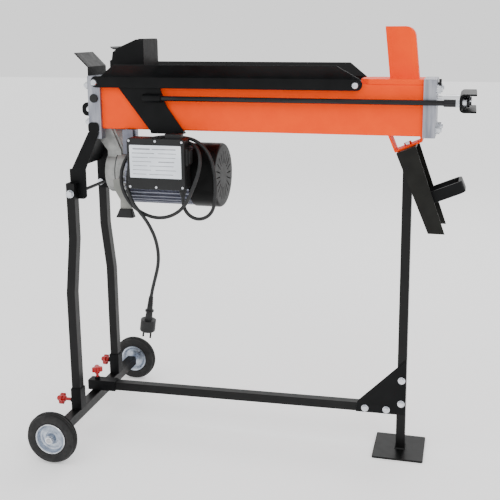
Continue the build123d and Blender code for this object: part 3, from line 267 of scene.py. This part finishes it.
def dress(node, finish, round_mm=0.7, segments=2):
    """Puts a copy of a CAD node, with rounded edges, in the node's place."""
    mesh = nodes[node].data.copy()
    tidy_mesh(mesh)
    obj = bpy.data.objects.new("look_" + node, mesh)
    place(obj, finish, NODE_BODY[node], (node,))
    smooth(obj)
    if round_mm:
        soft = obj.modifiers.new("round", "BEVEL")
        soft.width = round_mm * MM
        soft.segments = segments
        soft.limit_method = "ANGLE"
        soft.angle_limit = math.radians(40)
        soft.harden_normals = True
        soft.use_clamp_overlap = True
    return obj


def new_mesh(name, verts, faces):
    mesh = bpy.data.meshes.new(name)
    mesh.from_pydata([tuple(c * MM for c in v) for v in verts], [], faces)
    mesh.update()
    work = bmesh.new()
    work.from_mesh(mesh)
    bmesh.ops.remove_doubles(work, verts=work.verts, dist=1e-6)
    bmesh.ops.recalc_face_normals(work, faces=work.faces)
    work.to_mesh(mesh)
    work.free()
    return bpy.data.objects.new(name, mesh)


def lathe(name, profile, centre, axis, count=96):
    """Turns a closed profile of (radius, along) points about an axis."""
    axis = Vector(axis).normalized()
    first = axis.orthogonal().normalized()
    second = axis.cross(first)
    verts, faces = [], []
    for turn in range(count):
        angle = 2 * math.pi * turn / count
        outward = first * math.cos(angle) + second * math.sin(angle)
        for radius, along in profile:
            verts.append(Vector(centre) + outward * radius + axis * along)
    size = len(profile)
    for turn in range(count):
        for step in range(size):
            a = turn * size + step
            b = turn * size + (step + 1) % size
            c = ((turn + 1) % count) * size + (step + 1) % size
            d = ((turn + 1) % count) * size + step
            faces.append((a, b, c, d))
    obj = new_mesh(name, verts, faces)
    work = bmesh.new()
    work.from_mesh(obj.data)
    bmesh.ops.dissolve_degenerate(work, dist=1e-7, edges=work.edges)
    bmesh.ops.recalc_face_normals(work, faces=work.faces)
    work.to_mesh(obj.data)
    work.free()
    smooth(obj, 28.0)
    return obj


def slab(name, outline, depth, origin, along, upward, round_mm=0.5):
    """Extrudes a flat outline, given in two directions from an origin, by a depth."""
    along, upward = Vector(along).normalized(), Vector(upward).normalized()
    out = along.cross(upward)
    verts = [Vector(origin) + along * u + upward * v for u, v in outline]
    count = len(verts)
    verts += [v + out * depth for v in verts]
    faces = [tuple(range(count)), tuple(reversed(range(count, 2 * count)))]
    for i in range(count):
        j = (i + 1) % count
        faces.append((i, j, count + j, count + i))
    obj = new_mesh(name, verts, faces)
    if round_mm:
        soft = obj.modifiers.new("round", "BEVEL")
        soft.width = round_mm * MM
        soft.segments = 2
        soft.limit_method = "ANGLE"
        soft.angle_limit = math.radians(40)
    smooth(obj)
    return obj


def rounded(width, height, radius, steps=5):
    """Outline of a rectangle with rounded corners, centred on zero."""
    points = []
    for cx, cy, start in (
        (width / 2 - radius, height / 2 - radius, 0),
        (-width / 2 + radius, height / 2 - radius, 90),
        (-width / 2 + radius, -height / 2 + radius, 180),
        (width / 2 - radius, -height / 2 + radius, 270),
    ):
        for i in range(steps + 1):
            angle = math.radians(start + 90 * i / steps)
            points.append((cx + radius * math.cos(angle), cy + radius * math.sin(angle)))
    return points


def screw_head(name, centre, axis, radius, height, finish, body):
    """A domed head with a round recess."""
    profile = [(0.0, 0.0), (radius, 0.0), (radius, height * 0.3)]
    for i in range(1, 6):
        angle = math.radians(90 * i / 5)
        profile.append((radius * math.cos(angle * 0.82), height * (0.3 + 0.7 * math.sin(angle))))
    top = profile[-1][0]
    profile += [(top, height), (top * 0.98, height * 0.35), (0.0, height * 0.35)]
    obj = lathe(name, profile, centre, axis, 32)
    return place(obj, finish, body)


def weld(name, start, end, radius, finish):
    """A straight weld bead with a rippled surface, half sunk in the joint."""
    start, end = Vector(start), Vector(end)
    along = (end - start).normalized()
    first = along.orthogonal().normalized()
    second = along.cross(first)
    steps = max(6, int((end - start).length / 0.8))
    sides = 8
    verts, faces = [], []
    for step in range(steps + 1):
        share = step / steps
        fade = min(1.0, 4.0 * min(share, 1.0 - share) + 0.45)
        ring = radius * fade * (0.86 + 0.14 * math.sin(step * 1.7))
        for side in range(sides):
            angle = 2 * math.pi * side / sides
            outward = first * math.cos(angle) + second * math.sin(angle)
            verts.append(start.lerp(end, share) + outward * ring)
    for step in range(steps):
        for side in range(sides):
            a = step * sides + side
            b = step * sides + (side + 1) % sides
            faces.append((a, b, b + sides, a + sides))
    faces.append(tuple(range(sides)))
    faces.append(tuple(range(steps * sides, (steps + 1) * sides)))
    obj = new_mesh(name, verts, faces)
    smooth(obj, 50.0)
    return place(obj, finish, "frame")


# --- Cord: one smooth line from the gland round the hanging loops to the plug ---
CORD_RADIUS = 4.25
CORD_POINTS = [
    (-156, -100, 644), (-156, -100, 633), (-155, -100, 620), (-149.5, -101, 606.5), (-139, -102, 596),
    (-125, -103, 590), (-110, -103, 590), (-96, -102, 596), (-85.5, -100, 606.5), (-80, -98, 620.5),
    (-77.5, -96.5, 640), (-76, -95.5, 664), (-77, -95, 690), (-81, -93, 714), (-90, -88, 738),
    (-104, -82, 757), (-123, -76, 771), (-146, -71, 779), (-182, -67, 781), (-220, -66, 780),
    (-255, -68, 773), (-285, -74, 755), (-305, -83, 730), (-315, -92, 700), (-315, -98, 668),
    (-305, -101, 640), (-288, -102, 616), (-262, -103, 598), (-232, -104, 588), (-202, -105, 589),
    (-174, -109, 600), (-150, -116, 619), (-132, -125, 645), (-118, -127, 675), (-108, -121, 705),
    (-107, -109, 735), (-118, -94, 757), (-140, -78, 769), (-172, -67, 770), (-208, -64, 770),
    (-242, -65, 765), (-272, -69, 750), (-295, -76, 724), (-300, -87, 695), (-299, -96, 668),
    (-292, -104, 642), (-280, -109, 621), (-263, -113, 603), (-247, -115, 585), (-235, -114, 564),
    (-226, -111, 540), (-222, -107, 514), (-222, -103, 488), (-226, -101, 462), (-234, -100, 434),
    (-242, -100, 406), (-247, -100, 382), (-250, -100, 362),
]


def nurbs(name, points, radius, resolution=8):
    """An open NURBS line through evenly spaced control points, given in millimetres."""
    curve = bpy.data.curves.new(name, "CURVE")
    curve.dimensions = "3D"
    spline = curve.splines.new("NURBS")
    spline.points.add(len(points) - 1)
    for point, place_mm in zip(spline.points, points):
        point.co = (*(c * MM for c in place_mm), 1.0)
    spline.order_u = 3
    spline.use_endpoint_u = True
    spline.resolution_u = resolution
    line = bpy.data.objects.new(name, curve)
    bpy.context.scene.collection.objects.link(line)
    bpy.context.view_layer.update()
    centre = line.to_mesh()
    length = sum(
        (centre.vertices[e.vertices[0]].co - centre.vertices[e.vertices[1]].co).length
        for e in centre.edges
    )
    line.to_mesh_clear()
    curve.bevel_depth = radius * MM
    curve.bevel_resolution = 6
    curve.use_fill_caps = True
    return line, length


cord, cord_length = nurbs("power_cord_line", CORD_POINTS, CORD_RADIUS)
place(cord, sheath, "frame", ("power_cord", "cord_coil"))
print("cord length", round(cord_length, 4))

# --- Finishes of the CAD nodes ---
DRESS = {
    "axle_tube": (leg_black, 1.0),
    "axle_pins": (steel, 0.4),
    "stand_sockets": (black, 0.8),
    "base_tube": (leg_black, 1.2),
    "front_leg": (leg_black, 1.4),
    "rear_leg": (leg_black, 1.4),
    "post": (leg_black, 1.2),
    "gusset_plate": (black, 0.5),
    "end_bracket": (black, 0.6),
    "beam": (orange, 0.5),
    "left_head": (cast, 1.0),
    "right_head": (cast, 1.0),
    "stay_bolts": (zinc, 0.5),
    "stand_bolts": (zinc, 0.5),
    "guard_bolts": (zinc, 0.8),
    "frame_bolts": (zinc, 0.6),
    "filler_plug": (plastic, 0.5),
    "bleed_screw": (plastic, 0.6),
    "cylinder_tube": (steel, 0.0),
    "piston": (steel, 0.0),
    "piston_seals": (rubber, 0.0),
    "piston_rod": (chrome, 0.5),
    "wedge": (orange, 0.5),
    "wedge_plate": (orange, 1.0),
    "pusher": (black, 0.6),
    "carriage_plates": (black, 0.6),
    "slide_shoes": (plastic, 0.3),
    "tie_rods": (dark_steel, 0.5),
    "yoke": (black, 0.4),
    "yoke_nuts": (zinc, 0.6),
    "front_guard": (black, 0.5),
    "rear_guard": (black, 0.5),
    "strap_bracket": (orange, 0.7),
    # The support leg gets the lighter black that paints its sheen.
    "support_leg": (painted_sheen_black, 0.8),
    "carry_handle": (black, 1.2),
    "pump_casting": (rough_cast, 1.2),
    "drive_gear": (steel, 0.0),
    "idler_gear": (steel, 0.0),
    "valve_spool": (steel, 0.0),
    "control_lever": (grey, 1.0),
    "lever_grip": (plastic, 1.5),
    "motor_housing": (bare, 0.4),
    "stator": (copper, 0.0),
    "rotor": (steel, 0.0),
    "fan": (plastic, 0.0),
    "fan_cover": (cover_black, 0.5),
    "switch_box": (plastic, 0.8),
    "switch_lid": (plastic, 0.8),
    "push_button": (plastic, 0.8),
    "cable_gland": (plastic, 0.4),
    "clamp_knob_front": (red, 1.2),
    "clamp_knob_rear": (red, 1.2),
    "clamp_knob_base": (red, 1.2),
    "plug": (plastic, 0.8),
}
for node_name, (node_finish, node_round) in DRESS.items():
    dress(node_name, node_finish, node_round)

# --- The stand's hinge pin is painted over with the support leg ---
PIN_TOP_Z = 0.735
bolts_mesh = bpy.data.objects["look_frame_bolts"].data
bolts_mesh.materials.append(leg_black.mat)
for face in bolts_mesh.polygons:
    if face.center.z < PIN_TOP_Z:
        face.material_index = 1

# --- Wheels: grooved tyre, dished zinc rim and hub ring ---
WHEEL_X, WHEEL_Y, WHEEL_Z = -452.0, 251.0, 64.0
TYRE_RADIUS = 64.0
CROWN_CURVE = 0.045
GROOVE_DEPTH = 1.8
GROOVE_PLACES = (-8.0, -3.0, 3.0, 8.0)
for side, end in ((-1, "front"), (1, "rear")):
    body = "wheel_" + end
    centre = (WHEEL_X, side * WHEEL_Y, WHEEL_Z)
    out = (0, side, 0)
    tread = [(38.0, -10.0), (46.0, -13.2), (54.0, -14.0), (59.5, -12.6)]
    for groove in GROOVE_PLACES:
        crown = TYRE_RADIUS - CROWN_CURVE * groove * groove
        tread += [
            (crown, groove - 1.6),
            (crown - GROOVE_DEPTH, groove - 0.8),
            (crown - GROOVE_DEPTH, groove + 0.8),
            (crown, groove + 1.6),
        ]
    tread += [(59.5, 12.6), (54.0, 14.0), (46.0, 13.2), (38.0, 10.0)]
    tyre = lathe("tyre_look_" + end, tread, centre, out, 120)
    place(tyre, rubber, body, ("tyre_" + end,))
    dish = [
        (6.1, -14.8), (9.6, -14.8), (9.6, -3.0), (28.0, -3.0), (34.0, -10.5), (38.0, -11.0),
        (38.0, 11.0), (36.4, 11.8), (34.6, 11.0), (31.0, 2.4), (27.0, 1.2), (22.0, 2.4),
        (16.5, 2.6), (13.0, 5.4), (11.4, 12.0), (10.4, 14.8), (6.1, 14.8),
    ]
    rim = lathe("rim_look_" + end, dish, centre, out, 96)
    place(rim, blue_zinc, body, ("rim_" + end,))
    ring = [(34.9, 10.6), (36.0, 12.6), (37.4, 12.8), (38.4, 11.6), (38.2, 10.6)]
    place(lathe("rim_ring_" + end, ring, centre, out, 96), zinc, body)
    mouth = [(6.2, 13.6), (6.2, 15.0), (9.2, 15.0), (10.6, 13.6)]
    place(lathe("hub_ring_" + end, mouth, centre, out, 48), zinc, body)

# --- Switch box: rating plate with rows of plain bars, and lid screws ---
LID_FRONT = -120.0
PLATE_WIDTH, PLATE_HEIGHT = 129.0, 78.0
plate_centre = (-215.5, LID_FRONT, 727.0)
slab_x, slab_z = (1, 0, 0), (0, 0, 1)
plate_outline = rounded(PLATE_WIDTH, PLATE_HEIGHT, 2.0)
rating = slab("rating_plate", plate_outline, 0.7, plate_centre, slab_x, slab_z, 0.15)
place(rating, plate, "frame")
# Each row is (along, up, width, height), measured from the plate's centre.
rows = (
    (-34.0, 30.0, 44.0, 3.2), (22.0, 30.0, 60.0, 2.2), (-30.0, 20.0, 56.0, 1.8), (30.0, 20.0, 46.0, 1.4),
    (-38.0, 10.0, 40.0, 1.4), (18.0, 10.0, 66.0, 1.4), (-34.0, 0.0, 48.0, 1.4), (28.0, 0.0, 40.0, 2.2),
    (-38.0, -10.0, 36.0, 1.4), (16.0, -10.0, 60.0, 1.4), (-34.0, -20.0, 46.0, 1.4), (26.0, -20.0, 52.0, 1.4),
    (-40.0, -30.0, 34.0, 1.4), (14.0, -30.0, 60.0, 1.4),
)
for i, (u, v, width, height) in enumerate(rows):
    origin = (plate_centre[0] + u, LID_FRONT - 0.65, plate_centre[2] + v)
    outline = rounded(width, height, height * 0.4, 2)
    bar = slab(f"plate_row_{i}", outline, 0.2, origin, slab_x, slab_z, 0)
    place(bar, print_ink, "frame")
for i, (x, z) in enumerate(
    ((-281, 776), (-215, 776), (-149, 775), (-281, 666), (-215, 666), (-149, 667))
):
    screw_head(f"lid_screw_{i}", (x, LID_FRONT - 0.1, z), (0, -1, 0), 3.1, 1.9, zinc, "frame")

# --- Switch: two rockers on the box's side ---
ROCKER_FACE_X, ROCKER_Y = -134.1, -100
for i, z in enumerate((731.0, 747.0)):
    centre = (ROCKER_FACE_X, ROCKER_Y, z)
    rocker = slab(f"switch_rocker_{i}", rounded(14.0, 12.0, 2.0), 1.4, centre, (0, 1, 0), slab_z, 0.4)
    place(rocker, plastic, "button")

# --- Weld beads at the foot plate and the wedge ---
POST_X, POST_HALF, FOOT_TOP = 366.0, 11.0, 5.0
for side in (-1, 1):
    across_y = side * (POST_HALF + 0.6)
    weld(
        f"foot_weld_y{side}", (POST_X - POST_HALF, across_y, FOOT_TOP + 0.6),
        (POST_X + POST_HALF, across_y, FOOT_TOP + 0.6), 2.2, leg_black,
    )
    across_x = POST_X + side * (POST_HALF + 0.6)
    weld(
        f"foot_weld_x{side}", (across_x, -POST_HALF, FOOT_TOP + 0.6),
        (across_x, POST_HALF, FOOT_TOP + 0.6), 2.2, leg_black,
    )
WEDGE_FOOT_Z = 922.0
for side in (-1, 1):
    weld(
        f"wedge_weld_{side}", (325.0, side * 2.8, WEDGE_FOOT_Z + 0.5),
        (379.0, side * 24.4, WEDGE_FOOT_Z + 0.5), 2.0, orange,
    )

# --- Bolt in the end bracket's lug, and the seam in the pump casting ---
lug_bolt = lathe(
    "lug_bolt", [(0.0, -4.0), (6.6, -4.0), (6.6, 4.6), (5.2, 6.4), (0.0, 6.6)],
    (-429.0, -17.0, 838.0), (0, -1, 0), 32,
)
place(lug_bolt, zinc, "frame")
seam = lathe(
    "casting_gasket", [(54.0, 0.0), (58.5, 0.0), (58.5, 1.8), (54.0, 1.8)], (-349.4, 0, 683), (1, 0, 0), 96,
)
place(seam, plastic, "frame")

# --- Bracket that carries the motor under the beam ---
bracket = slab("motor_bracket", rounded(27.0, 60.0, 2.0), 4.0, (-309.5, -56.0, 764.0), slab_x, slab_z, 0.4)
place(bracket, slate, "frame")

# --- Cord: strain relief and collar at the plug ---
def ribbed(name, start, direction, length, wide, narrow, rings):
    """A tapered strain relief with moulded ribs."""
    bore = CORD_RADIUS + 0.05
    profile = [(bore, 0.0)]
    for i in range(rings):
        at = length * i / rings
        radius = wide + (narrow - wide) * i / rings
        profile += [
            (radius, at), (radius, at + length / rings * 0.55),
            (radius - 1.1, at + length / rings * 0.6), (radius - 1.1, at + length / rings * 0.95),
        ]
    profile += [(narrow - 1.2, length), (bore, length)]
    return lathe(name, profile, start, direction, 40)


plug_axis = (Vector(CORD_POINTS[-1]) - Vector((-245, -100, 396))).normalized()
relief = ribbed("plug_relief", (-250, -100, 361.5), -plug_axis, 26.0, 7.0, 5.6, 5)
place(relief, plastic, "frame")
collar = [(8.0, 10.0), (10.8, 11.0), (11.0, 14.0), (9.0, 16.0)]
plug_collar = lathe("plug_collar", [(5.0, 10.0), *collar, (5.0, 16.0)], CORD_POINTS[-1], plug_axis, 40)
place(plug_collar, plastic, "frame")

# --- Floor and soft light ---
FLOOR_SIZE = 30
FLOOR_GLOW = 0.35
WORLD_STRENGTH = 1.3
bpy.ops.mesh.primitive_plane_add(size=FLOOR_SIZE, location=(0, 0, -0.0005))
floor = bpy.context.object
floor.name = "floor"
floor_mat = bpy.data.materials.new("pale_floor")
floor_mat.use_nodes = True
floor_inputs = floor_mat.node_tree.nodes["Principled BSDF"].inputs
floor_inputs["Base Color"].default_value = (0.93, 0.93, 0.93, 1)
floor_inputs["Roughness"].default_value = 0.9
floor_inputs["Emission Color"].default_value = (1, 1, 1, 1)
floor_inputs["Emission Strength"].default_value = FLOOR_GLOW
floor.data.materials.append(floor_mat)

world = bpy.data.worlds.new("soft_world")
world.use_nodes = True
sky_inputs = world.node_tree.nodes["Background"].inputs
sky_inputs["Color"].default_value = (1.0, 1.0, 1.0, 1)
sky_inputs["Strength"].default_value = WORLD_STRENGTH
bpy.context.scene.world = world


def area_light(name, place_m, aim_m, size, power):
    lamp = bpy.data.lights.new(name, "AREA")
    lamp.shape = "RECTANGLE"
    lamp.size, lamp.size_y = size
    lamp.energy = power
    obj = bpy.data.objects.new(name, lamp)
    bpy.context.scene.collection.objects.link(obj)
    obj.location = place_m
    obj.rotation_euler = (Vector(aim_m) - Vector(place_m)).to_track_quat("-Z", "Y").to_euler()


area_light("key", (1.6, -2.4, 2.8), (0, 0, 0.6), (1.6, 1.6), 26)
area_light("fill", (-2.6, -1.8, 1.6), (0, 0, 0.5), (2.0, 2.0), 8)
area_light("back", (0.4, 2.4, 2.4), (0, 0, 0.7), (2.0, 1.2), 20)
